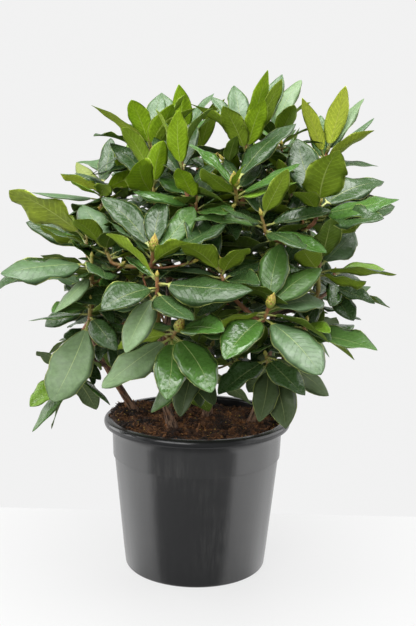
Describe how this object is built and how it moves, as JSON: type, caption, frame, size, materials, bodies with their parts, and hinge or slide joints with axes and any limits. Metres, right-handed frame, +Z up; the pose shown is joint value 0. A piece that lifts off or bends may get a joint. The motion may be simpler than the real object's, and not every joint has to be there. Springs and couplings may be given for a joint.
{
  "type": "potted rhododendron shrub",
  "caption": "Bushy evergreen shrub with whorls of large leathery leaves and flower buds, growing on several stems in a round black nursery pot.",
  "frame": {"origin": "middle of the pot's flat underside", "axes": "+Z up out of the pot along the plant's height, -Y towards the front of the plant, +X to its right"},
  "size_m": [0.7001, 0.7294, 0.913],
  "materials": {
    "pot": "black semi-gloss injection-moulded plastic with a glossy rolled lip",
    "compost": "dark brown fibrous peat compost",
    "bark": "brown cracked bark on the stems and boughs",
    "foliage": "leathery dark green leaves, paler yellow-green below"
  },
  "bodies": {
    "root": {"nursery_pot": "pot", "compost": "compost", "left_stem": "bark", "front_stem": "bark", "middle_stem": "bark", "right_stem": "bark", "left_low_bough": "bark", "left_bough": "bark", "left_high_bough": "bark", "back_left_bough": "bark", "front_low_bough": "bark", "front_left_bough": "bark", "front_left_high_bough": "bark", "top_left_bough": "bark", "centre_bough": "bark", "front_right_bough": "bark", "top_middle_bough": "bark", "back_top_bough": "bark", "back_bough": "bark", "back_low_bough": "bark", "right_low_bough": "bark", "right_bough": "bark", "right_high_bough": "bark", "top_right_bough": "bark", "back_right_bough": "bark", "back_right_low_bough": "bark", "top_left_leaves": "foliage", "top_middle_leaves": "foliage", "top_right_leaves": "foliage", "centre_leaves": "foliage", "right_high_leaves": "foliage", "right_leaves": "foliage", "right_low_leaves": "foliage", "front_right_leaves": "foliage", "front_left_leaves": "foliage", "front_left_high_leaves": "foliage", "front_low_leaves": "foliage", "left_leaves": "foliage", "left_low_leaves": "foliage", "left_high_leaves": "foliage", "back_left_leaves": "foliage", "back_top_leaves": "foliage", "back_leaves": "foliage", "back_low_leaves": "foliage", "back_right_leaves": "foliage", "back_right_low_leaves": "foliage"}
  },
  "joints": []
}
